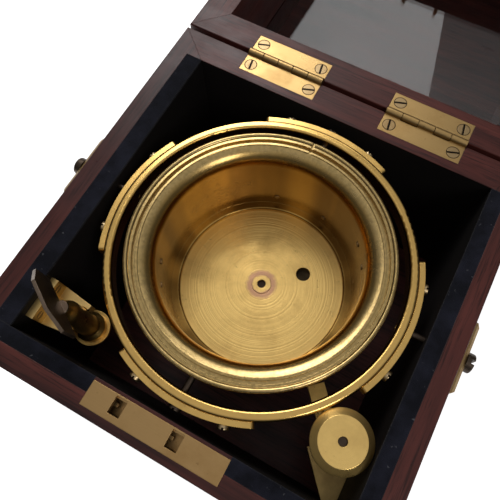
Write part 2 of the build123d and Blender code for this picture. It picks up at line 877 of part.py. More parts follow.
with BuildPart() as shutter_spring:
    with BuildSketch(Plane.XY.offset(spring_bottom)):
        with BuildLine():
            for half_turn in range(2 * spring_turns):
                side = 1 if half_turn % 2 == 0 else -1
                reach = spring_inner_radius + half_turn * spring_pitch / 2
                next_reach = reach + spring_pitch / 2
                middle = side * (reach - next_reach) / 2
                CenterArc((middle, 0), (reach + next_reach) / 2, 0 if side == 1 else 180, 180)
        trace(line_width=spring_strip)
    extrude(amount=spring_height)
shutter_spring.part.label = "shutter_spring"
export_step(shutter_spring.part, "parts/shutter_spring.step")

# Gimbal lock
lock_axis = (inner_right - lock_axis_from_right, inner_front + lock_axis_from_front)
shelf_top = case_height - shelf_top_drop
shelf_bottom = shelf_top - shelf_thickness
arm_top = case_height - arm_top_drop
arm_bottom = arm_top - arm_thickness
knob_top = case_height - knob_top_drop
knob_bottom = knob_top - knob_thickness
knob_hub_bottom = knob_bottom - knob_hub_height
nut_top = shelf_bottom - body_gap
arm_direction = (cos(radians(arm_angle)), sin(radians(arm_angle)), 0)
arm_plane = Plane(origin=(*lock_axis, arm_bottom), x_dir=arm_direction)

with BuildPart() as lock_shelf_screws:
    screw_middle = (inner_front + lock_axis[1]) / 2
    for y in (screw_middle - shelf_screw_spacing / 2, screw_middle + shelf_screw_spacing / 2):
        with Locations(
            Plane(
                origin=(inner_right - shelf_flange_thickness, y, shelf_bottom - shelf_flange_height / 2),
                x_dir=(0, 1, 0),
                z_dir=(-1, 0, 0),
            ).location
        ):
            add(small_screw)
lock_shelf_screws.part.label = "lock_shelf_screws"
export_step(lock_shelf_screws.part, "parts/lock_shelf_screws.step")

aside = (sin(radians(arm_angle)), -cos(radians(arm_angle)))
shelf_end_1 = (lock_axis[0] - shelf_half_width * aside[0], lock_axis[1] - shelf_half_width * aside[1])
shelf_end_2 = (lock_axis[0] + shelf_half_width * aside[0], lock_axis[1] + shelf_half_width * aside[1])
slope = sin(radians(arm_angle)) / cos(radians(arm_angle))
front_touch = shelf_end_1[0] + (inner_front - shelf_end_1[1]) / slope
right_touch = shelf_end_2[1] + (inner_right - shelf_end_2[0]) * slope
with BuildPart() as lock_shelf:
    with BuildSketch(Plane.XY.offset(shelf_bottom)):
        with BuildLine():
            Polyline(
                shelf_end_1,
                (front_touch, inner_front),
                (inner_right, inner_front),
                (inner_right, right_touch),
                shelf_end_2,
                close=True,
            )
        make_face()
        with Locations(lock_axis):
            Circle(shelf_nose_radius)
            Circle(spindle_radius + running_fit, mode=Mode.SUBTRACT)
    extrude(amount=shelf_thickness)
    with BuildSketch(Plane.XY.offset(shelf_bottom)):
        with Locations((inner_right, inner_front)):
            Rectangle(
                shelf_flange_thickness, right_touch - inner_front, align=(Align.MAX, Align.MIN)
            )
    extrude(amount=-shelf_flange_height)
    add(lock_shelf_screws.part, mode=Mode.SUBTRACT)
lock_shelf.part.label = "lock_shelf"
export_step(lock_shelf.part, "parts/lock_shelf.step")

with BuildPart() as lock_spindle:
    with BuildSketch(Plane.XZ):
        with BuildLine():
            Polyline(
                (0, nut_top - spindle_nut_height - spindle_thread_end),
                (spindle_radius, nut_top - spindle_nut_height - spindle_thread_end),
                (spindle_radius, shelf_top + body_gap),
                (arm_hub_radius, shelf_top + body_gap),
                (arm_hub_radius, arm_bottom),
                (spindle_radius, arm_bottom),
                (spindle_radius, knob_bottom),
                (spindle_spigot_radius, knob_bottom),
                (spindle_spigot_radius, knob_top - spindle_spigot_sink),
                (0, knob_top - spindle_spigot_sink),
                close=True,
            )
        make_face()
    revolve(axis=Axis.Z)
lock_spindle_shape = lock_spindle.part
with BuildPart() as gimbal_lock_spindle:
    with Locations((*lock_axis, 0)):
        add(lock_spindle_shape)
gimbal_lock_spindle.part.label = "gimbal_lock_spindle"
export_step(gimbal_lock_spindle.part, "parts/gimbal_lock_spindle.step")

with BuildPart() as gimbal_lock_knob:
    with BuildSketch(Plane.XY.offset(knob_bottom)):
        with Locations(lock_axis):
            Circle(knob_radius)
    extrude(amount=knob_thickness)
    chamfer(
        gimbal_lock_knob.edges().group_by(Axis.Z)[-1], knob_bevel, knob_radius - knob_flat_radius
    )
    with BuildSketch(Plane.XY.offset(knob_hub_bottom)):
        with Locations(lock_axis):
            Circle(knob_hub_radius)
    extrude(amount=knob_hub_height)
    with BuildSketch(Plane.XY.offset(knob_hub_bottom)):
        with Locations(lock_axis):
            Circle(spindle_radius)
    extrude(amount=knob_hub_height, mode=Mode.SUBTRACT)
    with BuildSketch(Plane.XY.offset(knob_bottom)):
        with Locations(lock_axis):
            Circle(spindle_spigot_radius)
    extrude(amount=knob_thickness, mode=Mode.SUBTRACT)
gimbal_lock_knob.part.label = "gimbal_lock_knob"
export_step(gimbal_lock_knob.part, "parts/gimbal_lock_knob.step")

with BuildPart() as gimbal_lock_arm:
    with BuildSketch(arm_plane):
        Circle(arm_hub_radius)
        Rectangle(arm_reach, arm_width, align=(Align.MIN, Align.CENTER))
        Circle(spindle_radius, mode=Mode.SUBTRACT)
    extrude(amount=arm_thickness)
    with BuildSketch(arm_plane.offset(arm_thickness)):
        with Locations((arm_boss_along, -arm_boss_aside)):
            Circle(arm_boss_radius)
    extrude(amount=arm_boss_height)
    fillet(gimbal_lock_arm.edges().group_by(Axis.Z)[-1], arm_boss_radius / 2)
gimbal_lock_arm.part.label = "gimbal_lock_arm"
export_step(gimbal_lock_arm.part, "parts/gimbal_lock_arm.step")

with BuildPart() as gimbal_lock_nut:
    with BuildSketch(Plane.XY.offset(nut_top)):
        with Locations(lock_axis):
            RegularPolygon(spindle_nut_radius, 6)
            Circle(spindle_radius, mode=Mode.SUBTRACT)
    extrude(amount=-spindle_nut_height)
gimbal_lock_nut.part.label = "gimbal_lock_nut"
export_step(gimbal_lock_nut.part, "parts/gimbal_lock_nut.step")

# Winding key, turned profile about its own axis
key_axis = (inner_left + key_from_left, inner_front + key_from_front)
grip_top = case_height + key_grip_top_rise
grip_bottom = grip_top - key_grip_height
barrel_top = case_height - key_barrel_top_drop
flange_top = case_height - key_flange_top_drop
flange_bottom = flange_top - key_flange_thickness
stem_bottom = flange_bottom - key_stem_length
neck_top = grip_bottom - key_neck_drop

with BuildPart() as key_profile:
    with BuildSketch(Plane.XZ):
        with BuildLine():
            Polyline(
                (key_neck_radius, neck_top),
                (0, neck_top),
                (0, stem_bottom),
                (key_stem_radius, stem_bottom),
                (key_stem_radius, flange_bottom),
                (key_flange_radius, flange_bottom),
                (key_flange_radius, flange_top),
                (key_flare_radius, flange_top),
                (key_flare_radius, case_height - key_flare_drop),
                (key_barrel_radius, case_height - key_flare_drop + key_flare_radius - key_barrel_radius),
                (key_barrel_radius, barrel_top),
            )
            Spline(
                (key_barrel_radius, barrel_top),
                (key_neck_radius, neck_top),
                tangents=((0, 1), (0, 1)),
            )
        make_face()
    revolve(axis=Axis.Z)
    with BuildSketch(Plane.XY.offset(stem_bottom)):
        Rectangle(key_square, key_square)
    extrude(amount=key_square_depth, mode=Mode.SUBTRACT)

with BuildPart() as key_barrel:
    with Locations((*key_axis, 0)):
        add(key_profile.part)
key_barrel.part.label = "key_barrel"
export_step(key_barrel.part, "parts/key_barrel.step")

grip_plane = Plane(
    origin=(*key_axis, grip_bottom),
    x_dir=(cos(radians(key_grip_angle)), sin(radians(key_grip_angle)), 0),
    z_dir=(sin(radians(key_grip_angle)), -cos(radians(key_grip_angle)), 0),
)
grip_half = key_grip_width / 2
with BuildPart() as key_grip:
    with BuildSketch(grip_plane):
        with BuildLine():
            Polyline(
                (-grip_half, 0),
                (grip_half, 0),
                (grip_half, key_grip_height - key_grip_clip_height),
                (grip_half - key_grip_clip_width, key_grip_height),
                (key_grip_clip_width - grip_half, key_grip_height),
                (-grip_half, key_grip_height - key_grip_clip_height),
                close=True,
            )
        make_face()
    extrude(amount=key_grip_thickness / 2, both=True)
    with BuildSketch(Plane.XY.offset(neck_top)):
        with Locations(key_axis):
            Circle(key_neck_radius)
    extrude(amount=2 * key_neck_drop)
key_grip.part.label = "key_grip"
export_step(key_grip.part, "parts/key_grip.step")

# Key holder: back plate on the left wall and spring jaws round the barrel
jaw_inner = key_barrel_radius + jaw_gap
jaw_outer = jaw_inner + jaw_thickness
jaw_top = case_height - jaw_top_drop
holder_face = inner_left + holder_plate_thickness
holder_top = case_height - holder_plate_top_drop
with BuildPart() as key_holder_screws:
    for side in (-1, 1):
        with Locations(
            Plane(
                origin=(
                    holder_face,
                    key_axis[1] + side * holder_screw_spacing / 2,
                    case_height - holder_screw_drop,
                ),
                x_dir=(0, 1, 0),
                z_dir=(1, 0, 0),
            ).location
        ):
            add(small_screw)
key_holder_screws.part.label = "key_holder_screws"
export_step(key_holder_screws.part, "parts/key_holder_screws.step")

with BuildPart() as key_holder:
    with BuildSketch(Plane.XY.offset(jaw_top - jaw_height)):
        with BuildLine():
            Polyline(
                (holder_face, key_axis[1] - holder_plate_width / 2),
                (key_axis[0], key_axis[1] - jaw_outer),
                (key_axis[0], key_axis[1] + jaw_outer),
                (holder_face, key_axis[1] + holder_plate_width / 2),
                close=True,
            )
        make_face()
        with Locations(key_axis):
            Circle(jaw_outer)
            Circle(jaw_inner, mode=Mode.SUBTRACT)
        half_opening = radians(jaw_opening_angle / 2)
        reach = 2 * jaw_outer
        with BuildLine():
            Polyline(
                key_axis,
                (key_axis[0] + reach * cos(half_opening), key_axis[1] - reach * sin(half_opening)),
                (key_axis[0] + 2 * reach, key_axis[1] - reach * sin(half_opening)),
                (key_axis[0] + 2 * reach, key_axis[1] + reach * sin(half_opening)),
                (key_axis[0] + reach * cos(half_opening), key_axis[1] + reach * sin(half_opening)),
                close=True,
            )
        make_face(mode=Mode.SUBTRACT)
        with Locations((holder_face + holder_window_width, key_axis[1])):
            Rectangle(holder_window_width, holder_window_length, mode=Mode.SUBTRACT)
    extrude(amount=jaw_height)
    with BuildSketch(Plane.XY.offset(holder_top)):
        with Locations((inner_left, key_axis[1])):
            Rectangle(
                holder_plate_thickness, holder_plate_width, align=(Align.MIN, Align.CENTER)
            )
    extrude(amount=-holder_plate_height)
    add(key_holder_screws.part, mode=Mode.SUBTRACT)
key_holder.part.label = "key_holder"
export_step(key_holder.part, "parts/key_holder.step")

# Lower case: base board and four mitred walls, cut for what is let into them
with BuildPart() as base_board:
    with BuildSketch():
        Rectangle(case_width, case_depth)
    extrude(amount=base_thickness)
    chamfer(base_board.edges().group_by(Axis.Z)[0], eased_edge)
base_board.part.label = "base_board"
export_step(base_board.part, "parts/base_board.step")

wall_height = case_height - base_thickness
case_boards = [
    mitred_board(
        case_outline, case_inside, side, Plane.XY.offset(base_thickness), wall_height, [wall_height]
    )
    for side in (FRONT, RIGHT, BACK, LEFT)
]

with BuildPart() as wall_front:
    add(case_boards[FRONT])
    for strip in (velvet_left, velvet_right, velvet_front, lock_plate):
        add(strip.part, mode=Mode.SUBTRACT)
    with Locations(*[(x, y, case_height) for x, y in lock_slot_places]):
        Box(
            lock_slot_length,
            lock_slot_width,
            2 * lock_plate_thickness,
            mode=Mode.SUBTRACT,
        )
    with Locations((lock_middle, lock_plate_y, lock_case_top)):
        Box(
            lock_case_length,
            lock_case_width,
            lock_case_height,
            align=(Align.CENTER, Align.CENTER, Align.MAX),
            mode=Mode.SUBTRACT,
        )
    with BuildSketch(Plane.XZ.offset(-lock_plate_y)):
        with Locations((lock_middle, keyhole_level)):
            Circle(keyhole_radius)
            Rectangle(
                keyhole_slot_width, keyhole_slot_length, align=(Align.CENTER, Align.MAX)
            )
    extrude(amount=front_wall, mode=Mode.SUBTRACT)
wall_front.part.label = "wall_front"
export_step(wall_front.part, "parts/wall_front.step")

with BuildPart() as wall_right:
    add(case_boards[RIGHT])
    for piece in (velvet_right, velvet_front, ring_pivots, pivot_plate_screws, lock_shelf_screws):
        add(piece.part, mode=Mode.SUBTRACT)
wall_right.part.label = "wall_right"
export_step(wall_right.part, "parts/wall_right.step")

with BuildPart() as wall_left:
    add(case_boards[LEFT])
    for piece in (velvet_left, velvet_front, ring_pivots, pivot_plate_screws, key_holder_screws):
        add(piece.part, mode=Mode.SUBTRACT)
wall_left.part.label = "wall_left"
export_step(wall_left.part, "parts/wall_left.step")

relieved_back = hinge_relief(case_hinges, case_boards[BACK], case_knuckle_radius)
with BuildPart() as wall_back:
    add(relieved_back)
    add(case_hinge_leaves.part, mode=Mode.SUBTRACT)
    add(case_hinge_screws.part, mode=Mode.SUBTRACT)
wall_back.part.label = "wall_back"
export_step(wall_back.part, "parts/wall_back.step")

# Glazed section, folded back
section_inside = inset(case_outline, section_wall)

with BuildPart() as section_hinge_leaves:
    with Locations(*section_case_hinges):
        add(case_narrow_leaf)
    with Locations(*section_lid_hinges):
        add(lid_wide_leaf)
section_hinge_leaves.part.label = "section_hinge_leaves"
export_step(section_hinge_leaves.part, "parts/section_hinge_leaves.step")

link_plate_screw_places = [
    opened.location * Location((lock_middle + x, lock_plate_y, section_bottom), (180, 0, link_slot_turn))
    for x in (
        -lock_plate_length / 2 + hinge_screw_inset,
        lock_plate_length / 2 - hinge_screw_inset,
    )
]
with BuildPart() as section_screws:
    with Locations(
        *[
            place * spot
            for place in section_case_hinges + section_lid_hinges
            for spot in leaf_screw_places
        ]
    ):
        add(wood_screw)
    with Locations(*link_plate_screw_places):
        add(wood_screw)
section_screws.part.label = "section_screws"
export_step(section_screws.part, "parts/section_screws.step")

with BuildPart() as link_plate:
    with BuildSketch(opened.offset(section_bottom)):
        with Locations((lock_middle, lock_plate_y)):
            Rectangle(lock_plate_length, lock_plate_width)
    extrude(amount=lock_plate_thickness)
    with BuildSketch(opened.offset(link_tip)):
        with Locations(*lock_slot_places):
            Rectangle(link_length, link_width)
    extrude(amount=link_drop)
    with Locations(
        *[
            opened.location * Location((x, y, link_tip + link_bar + link_eye_height / 2))
            for x, y in lock_slot_places
        ]
    ):
        Box(2 * link_length, link_eye_width, link_eye_height, mode=Mode.SUBTRACT)
    add(section_screws.part, mode=Mode.SUBTRACT)
link_plate.part.label = "link_plate"
export_step(link_plate.part, "parts/link_plate.step")

# The pane lies in a rebate open to the lid side and is held by the beading
glass_top = section_top - glass_from_top
glass_bottom = glass_top - glass_thickness
pane_width = case_width - 2 * (section_wall - glass_seat + glass_play)
pane_depth = case_depth - 2 * (section_wall - glass_seat + glass_play)
rebate_width = case_width - 2 * (section_wall - glass_seat)
rebate_depth = case_depth - 2 * (section_wall - glass_seat)

with BuildPart() as section_glass:
    with BuildSketch(opened.offset(glass_bottom)):
        Rectangle(pane_width, pane_depth)
    extrude(amount=glass_thickness)
section_glass.part.label = "section_glass"
export_step(section_glass.part, "parts/section_glass.step")

with BuildPart() as glass_beading:
    with BuildSketch(opened.offset(glass_top)):
        Rectangle(rebate_width, rebate_depth)
        Rectangle(case_width - 2 * section_wall, case_depth - 2 * section_wall, mode=Mode.SUBTRACT)
    extrude(amount=bead_height)
    inner_top = glass_beading.edges().group_by(Axis.Z)[0]
    chamfer(inner_top.sort_by(SortBy.LENGTH)[:4], bead_height / 2)
glass_beading.part.label = "glass_beading"
export_step(glass_beading.part, "parts/glass_beading.step")

with BuildPart() as rebate:
    with BuildSketch(opened.offset(glass_bottom)):
        Rectangle(rebate_width, rebate_depth)
    extrude(amount=section_height)

section_boards = [
    mitred_board(
        case_outline,
        section_inside,
        side,
        opened.offset(section_bottom),
        section_height,
        [0, section_height],
    )
    for side in (FRONT, RIGHT, BACK, LEFT)
]

with BuildPart() as section_wall_front:
    add(section_boards[FRONT])
    for piece in (rebate, link_plate, section_screws):
        add(piece.part, mode=Mode.SUBTRACT)
section_wall_front.part.label = "section_wall_front"
export_step(section_wall_front.part, "parts/section_wall_front.step")

with BuildPart() as section_wall_right:
    add(section_boards[RIGHT])
    add(rebate.part, mode=Mode.SUBTRACT)
section_wall_right.part.label = "section_wall_right"
export_step(section_wall_right.part, "parts/section_wall_right.step")

with BuildPart() as section_wall_left:
    add(section_boards[LEFT])
    add(rebate.part, mode=Mode.SUBTRACT)
section_wall_left.part.label = "section_wall_left"
export_step(section_wall_left.part, "parts/section_wall_left.step")

relieved_once = hinge_relief(section_case_hinges, section_boards[BACK], case_knuckle_radius)
relieved_section = hinge_relief(section_lid_hinges, relieved_once, lid_knuckle_radius)
with BuildPart() as section_wall_back:
    add(relieved_section)
    for piece in (rebate, section_hinge_leaves, section_screws):
        add(piece.part, mode=Mode.SUBTRACT)
section_wall_back.part.label = "section_wall_back"
export_step(section_wall_back.part, "parts/section_wall_back.step")

# Upper lid, closed on the section and so folded back with it
with BuildPart() as lid_hinge_leaves:
    with Locations(*lid_hinges):
        add(lid_narrow_leaf)
lid_hinge_leaves.part.label = "lid_hinge_leaves"
export_step(lid_hinge_leaves.part, "parts/lid_hinge_leaves.step")

with BuildPart() as lid_hinge_pins:
    with Locations(*[place * Location((0, 0, 0), (0, 90, 0)) for place in section_lid_hinges]):
        Cylinder(hinge_pin_radius, hinge_length)
lid_hinge_pins.part.label = "lid_hinge_pins"
export_step(lid_hinge_pins.part, "parts/lid_hinge_pins.step")

with BuildPart() as lid_hinge_screws:
    with Locations(*[place * spot for place in lid_hinges for spot in leaf_screw_places]):
        add(wood_screw)
lid_hinge_screws.part.label = "lid_hinge_screws"
export_step(lid_hinge_screws.part, "parts/lid_hinge_screws.step")

lid_inside = inset(case_outline, lid_wall)
lid_wall_height = lid_height - lid_panel_thickness
lid_boards = [
    mitred_board(
        case_outline, lid_inside, side, opened.offset(lid_bottom), lid_wall_height, [0]
    )
    for side in (FRONT, RIGHT, BACK, LEFT)
]
relieved_lid = hinge_relief(lid_hinges, lid_boards[BACK], lid_knuckle_radius)

with BuildPart() as lid_wall_front:
    add(lid_boards[FRONT])
lid_wall_front.part.label = "lid_wall_front"
export_step(lid_wall_front.part, "parts/lid_wall_front.step")

with BuildPart() as lid_wall_right:
    add(lid_boards[RIGHT])
lid_wall_right.part.label = "lid_wall_right"
export_step(lid_wall_right.part, "parts/lid_wall_right.step")

with BuildPart() as lid_wall_left:
    add(lid_boards[LEFT])
lid_wall_left.part.label = "lid_wall_left"
export_step(lid_wall_left.part, "parts/lid_wall_left.step")

with BuildPart() as lid_wall_back:
    add(relieved_lid)
    add(lid_hinge_leaves.part, mode=Mode.SUBTRACT)
    add(lid_hinge_screws.part, mode=Mode.SUBTRACT)
lid_wall_back.part.label = "lid_wall_back"
export_step(lid_wall_back.part, "parts/lid_wall_back.step")

with BuildPart() as lid_panel:
    with BuildSketch(opened.offset(lid_bottom + lid_wall_height)):
        Rectangle(case_width, case_depth)
    extrude(amount=lid_panel_thickness)
    fillet(lid_panel.edges().group_by(Axis.Z)[0], 2 * eased_edge)
lid_panel.part.label = "lid_panel"
export_step(lid_panel.part, "parts/lid_panel.step")
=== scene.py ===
"""Looks of a box chronometer: materials, fine detail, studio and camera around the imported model."""

import math

import bpy
from bpy.props import FloatProperty, FloatVectorProperty, PointerProperty
from mathutils import Matrix, Vector


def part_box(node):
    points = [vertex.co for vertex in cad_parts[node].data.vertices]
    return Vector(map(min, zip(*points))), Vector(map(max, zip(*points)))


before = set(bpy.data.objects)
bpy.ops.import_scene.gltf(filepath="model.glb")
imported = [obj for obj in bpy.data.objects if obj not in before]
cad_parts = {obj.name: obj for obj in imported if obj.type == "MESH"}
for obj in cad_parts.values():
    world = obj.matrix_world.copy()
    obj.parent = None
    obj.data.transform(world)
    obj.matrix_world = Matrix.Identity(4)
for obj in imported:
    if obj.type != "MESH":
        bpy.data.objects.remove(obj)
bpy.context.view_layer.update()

bl_info = {
    "name": "Box Chronometer Finishes",
    "version": (1, 0, 0),
    "blender": (4, 5, 0),
    "location": "View3D > Sidebar > Chronometer",
    "description": "Dresses the packed chronometer in wood, brass, velvet and glass, and lights it",
    "category": "Object",
}

CASE_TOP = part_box("wall_back")[1].z

# Boards by the direction of their grain. The walls of the case get painted shade on the inside.
CASE_WALLS_X = ("wall_front", "wall_back")
CASE_WALLS_Y = ("wall_left", "wall_right")
BOARDS_X = (
    "section_wall_front",
    "section_wall_back",
    "lid_wall_front",
    "lid_wall_back",
    "lid_panel",
    "base_board",
)
BOARDS_Y = (
    "section_wall_left",
    "section_wall_right",
    "lid_wall_left",
    "lid_wall_right",
)
VELVETS = ("velvet_left", "velvet_right", "velvet_front")

# Screws of the case's hinges, in metres: the radius of a head, where the painted shadow around it
# begins and ends to fade, the length of a hinge, and how far a screw stands from its end and from its
# pin.
SCREW_HEAD = 0.003
SHADOW_FADE = (0.0001, 0.0003)
HINGE_LENGTH = 0.0404
SCREW_INSET = 0.0042
SCREW_REACH = 0.007

# Wood: how many times the figure is stretched along the grain, and how many times finer across
# the grain and coarser along it the pores are than the figure setting. Then how far the painted
# shade inside the case goes past the velvet and stays below the top, in metres.
FIGURE_STRETCH = 14
PORES_ACROSS = 9
PORES_ALONG = 2.5
SHADE_MARGIN = 0.0004
SHADE_DROP = 0.0003
RUBBED_WOOD = (0.20, 0.075, 0.05)

VELVET_EDGE = 0.0006
LINT = (0.16, 0.16, 0.17)
BARE_PILE = (0.12, 0.11, 0.11)

# Brass: how close the tool's lines stand per metre, across a straight grain and along it, and
# their depth in metres. Then how ragged the edges of the dull part and of the halo are, and over
# what length they fade, in metres.
TOOL_LINES = 5200
LINES_ALONG_GRAIN = 30
LINE_DEPTH = 0.00004
DULL_RAGGED = 0.0008
DULL_FADE = 0.004
HALO_RAGGED = 0.0006
HALO_INNER_FADE = (-0.0004, 0.0004)
HALO_OUTER_FADE = (-0.0012, 0.0006)
OLIVE_DARK = (0.36, 0.265, 0.115)
OLIVE_LIGHT = (0.50, 0.36, 0.16)
ROSY_STAIN = (0.46, 0.23, 0.17)
# Dark brown of the painted reflections streaked up the turned bowl's wall.
PAINTED_REFLECTION_BROWN = (0.15, 0.075, 0.018)
SCREW_SHADOW = (0.012, 0.009, 0.007)
EDGE_GRIME = (0.035, 0.024, 0.016)
STEEL_STAIN = (0.03, 0.022, 0.018)

GLASS_COLOUR = (0.93, 0.96, 0.95)

# Studio: half the floor's side and its drop below the case, in metres, and how bright it looks;
# then each lamp's name, place, aim, sides and power.
FLOOR_REACH = 6.0
FLOOR_DROP = 0.0002
FLOOR_COLOUR = (0.86, 0.86, 0.86)
FLOOR_GLOW = 0.80
WHITE = (1, 1, 1, 1)
LAMPS = (
    ("key_lamp", (-0.55, 0.72, 1.0), (0, 0, 0.08), (0.40, 0.8), 5.2),
    ("back_lamp", (-0.47, 1.25, 1.25), (0, 0.1, 0.05), (0.92, 0.6), 2.3),
    ("side_lamp", (0.78, -0.50, 0.95), (0, 0, 0.08), (0.32, 0.5), 3),
)

# Camera: angles in degrees, the point that it aims at and its distance from there in metres.
CAMERA_AZIMUTH = 28.91
CAMERA_ELEVATION = 69.66
CAMERA_ROLL = -0.62
CAMERA_TARGET = (0.00028, 0.00155, CASE_TOP)
CAMERA_DISTANCE = 0.21465
CAMERA_SENSOR = 36
CAMERA_LENS = 36.02
CAMERA_SHIFT = -0.026
CAMERA_NEAR = 0.01


class ChronometerSettings(bpy.types.PropertyGroup):
    """Colours and sizes of the finishes that a user may change."""

    wood_dark: FloatVectorProperty(
        name="Dark wood", description="Dark figure of the mahogany", subtype="COLOR",
        default=(0.021, 0.0056, 0.0050), min=0, max=1,
    )
    wood_light: FloatVectorProperty(
        name="Light wood", description="Light figure of the mahogany", subtype="COLOR",
        default=(0.122, 0.029, 0.022), min=0, max=1,
    )
    # Painted shade: the near-black colour painted on the inside of the case.
    inside_shade_colour: FloatVectorProperty(
        name="Painted shade inside", description="Near black painted shade inside the case", subtype="COLOR",
        default=(0.0045, 0.0032, 0.0028), min=0, max=1,
    )
    velvet_colour: FloatVectorProperty(
        name="Velvet", description="Worn velvet of the edge strips", subtype="COLOR",
        default=(0.0050, 0.0052, 0.0085), min=0, max=1,
    )
    brass_colour: FloatVectorProperty(
        name="Brass", description="Polished brass", subtype="COLOR",
        default=(0.74, 0.47, 0.145), min=0, max=1,
    )
    brass_stain: FloatVectorProperty(
        name="Brass stain", description="Tarnish on the brass", subtype="COLOR",
        default=(0.26, 0.14, 0.045), min=0, max=1,
    )
    steel_colour: FloatVectorProperty(
        name="Browned steel", description="Browned steel of the key's grip", subtype="COLOR",
        default=(0.17, 0.125, 0.09), min=0, max=1,
    )
    wood_figure: FloatProperty(
        name="Figure", description="Length of the wood figure across the grain",
        default=0.004, min=0.0005, unit="LENGTH",
    )
    edge_rounding: FloatProperty(
        name="Edge rounding", description="Apparent radius of worn edges",
        default=0.0005, min=0, unit="LENGTH",
    )


class Graph:
    """A node tree with short ways to add, link and mix nodes."""

    def __init__(self, tree):
        self.tree = tree

    def add(self, kind, properties=None, **values):
        """Adds a node; values are numbers, colours or links for its inputs."""
        node = self.tree.nodes.new(kind)
        for key, value in (properties or {}).items():
            setattr(node, key, value)
        for key, value in values.items():
            self.feed(node.inputs[key.replace("_", " ")], value)
        return node

    def feed(self, socket, value):
        """Links a socket to another socket, or sets its number or colour."""
        if isinstance(value, bpy.types.NodeSocket):
            self.tree.links.new(value, socket)
        elif hasattr(value, "__len__") and len(value) == 3 and len(socket.default_value) == 4:
            socket.default_value = (*value, 1)
        else:
            socket.default_value = value

    def maths(self, operation, *values):
        """A Math node fed with numbers or sockets; returns its result."""
        node = self.add("ShaderNodeMath", {"operation": operation})
        for socket, value in zip(node.inputs, values):
            self.feed(socket, value)
        return node.outputs[0]

    def times(self, first, second):
        """The product of two values."""
        return self.maths("MULTIPLY", first, second)

    def length(self, x, y):
        """How far x, y is from the origin."""
        return self.maths("SQRT", self.maths("ADD", self.times(x, x), self.times(y, y)))

    def distance(self, x, y, place):
        """How far x, y is from a place."""
        return self.length(self.maths("SUBTRACT", x, place[0]), self.maths("SUBTRACT", y, place[1]))

    def between(self, value, low, high):
        """1 where a value lies between two limits, 0 elsewhere."""
        return self.times(self.maths("GREATER_THAN", value, low),
                          self.maths("LESS_THAN", value, high))

    def span(self, value, low, high, new_low=0.0, new_high=1.0):
        """Maps a value from one range to another, held at the ends."""
        node = self.add("ShaderNodeMapRange")
        for socket, number in zip(node.inputs, (value, low, high, new_low, new_high)):
            self.feed(socket, number)
        return node.outputs["Result"]

    def split(self, vector):
        """The three parts of a vector."""
        return self.add("ShaderNodeSeparateXYZ", Vector=vector).outputs

    def place(self, scale=(1, 1, 1), origin=(0, 0, 0)):
        """Object coordinates in metres, moved and scaled."""
        vector = self.add("ShaderNodeTexCoord").outputs["Object"]
        for operation, amount in (("SUBTRACT", origin), ("MULTIPLY", scale)):
            node = self.add("ShaderNodeVectorMath", {"operation": operation})
            self.feed(node.inputs[0], vector)
            node.inputs[1].default_value = amount
            vector = node.outputs[0]
        return vector

    def noise(self, vector, scale=1, detail=4, roughness=0.5):
        """Fractal noise, 0 to 1."""
        node = self.add("ShaderNodeTexNoise", Vector=vector, Scale=scale, Detail=detail,
                        Roughness=roughness)
        return node.outputs["Fac"]

    def patches(self, per_metre, detail, roughness=0.5):
        """Noise with patches that are as long as they are wide."""
        return self.noise(self.place((per_metre, per_metre, per_metre)), 1, detail, roughness)

    def ramp(self, factor, *stops):
        """A colour ramp from (position, colour) stops."""
        node = self.add("ShaderNodeValToRGB", Fac=factor)
        elements = node.color_ramp.elements
        while len(elements) < len(stops):
            elements.new(0.5)
        for element, (position, colour) in zip(elements, stops):
            element.position = position
            element.color = (*colour, 1)
        return node.outputs["Color"]

    def mix(self, factor, first, second):
        """Mixes two colours."""
        node = self.add("ShaderNodeMix", {"data_type": "RGBA", "blend_type": "MIX"})
        self.feed(node.inputs["Factor"], factor)
        self.feed(node.inputs["A"], first)
        self.feed(node.inputs["B"], second)
        return node.outputs["Result"]

    def bump(self, height, distance, strength=1.0, normal=None):
        """A bump from a height field, over another normal if given."""
        node = self.add("ShaderNodeBump", Height=height, Distance=distance, Strength=strength)
        if normal is not None:
            self.feed(node.inputs["Normal"], normal)
        return node.outputs["Normal"]

    def worn_edges(self, radius):
        """A normal rounded at the edges, and a mask that is 1 on the edges."""
        rounded = self.add("ShaderNodeBevel", {"samples": 4}, Radius=radius).outputs["Normal"]
        flat = self.add("ShaderNodeNewGeometry").outputs["Normal"]
        product = self.add("ShaderNodeVectorMath", {"operation": "DOT_PRODUCT"})
        self.feed(product.inputs[0], rounded)
        self.feed(product.inputs[1], flat)
        return rounded, self.span(product.outputs["Value"], 0.995, 0.85)


class Finish(Graph):
    """The node tree of a new material."""

    def __init__(self, name):
        self.material = bpy.data.materials.new(name)
        self.material.use_nodes = True
        super().__init__(self.material.node_tree)
        self.shader = self.tree.nodes["Principled BSDF"]

    def complete(self, colour, roughness, normal=None, **constants):
        """Feeds the shader; constants go straight onto its sockets."""
        self.feed(self.shader.inputs["Base Color"], colour)
        self.feed(self.shader.inputs["Roughness"], roughness)
        if normal is not None:
            self.feed(self.shader.inputs["Normal"], normal)
        for key, value in constants.items():
            self.shader.inputs[key.replace("_", " ")].default_value = value
        return self.material


def settings():
    """The user's settings."""
    return bpy.context.scene.chronometer


def toned(colour, amount):
    """A colour made lighter or darker."""
    return tuple(min(1, amount * part) for part in colour)


def dress(names, material):
    """Gives CAD nodes a material."""
    for name in names:
        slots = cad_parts[name].data.materials
        slots.clear()
        slots.append(material)


def by_grain(grain, along, across):
    """A scale with one number along the grain and another across it."""
    return tuple(along if axis == grain else across for axis in "XYZ")


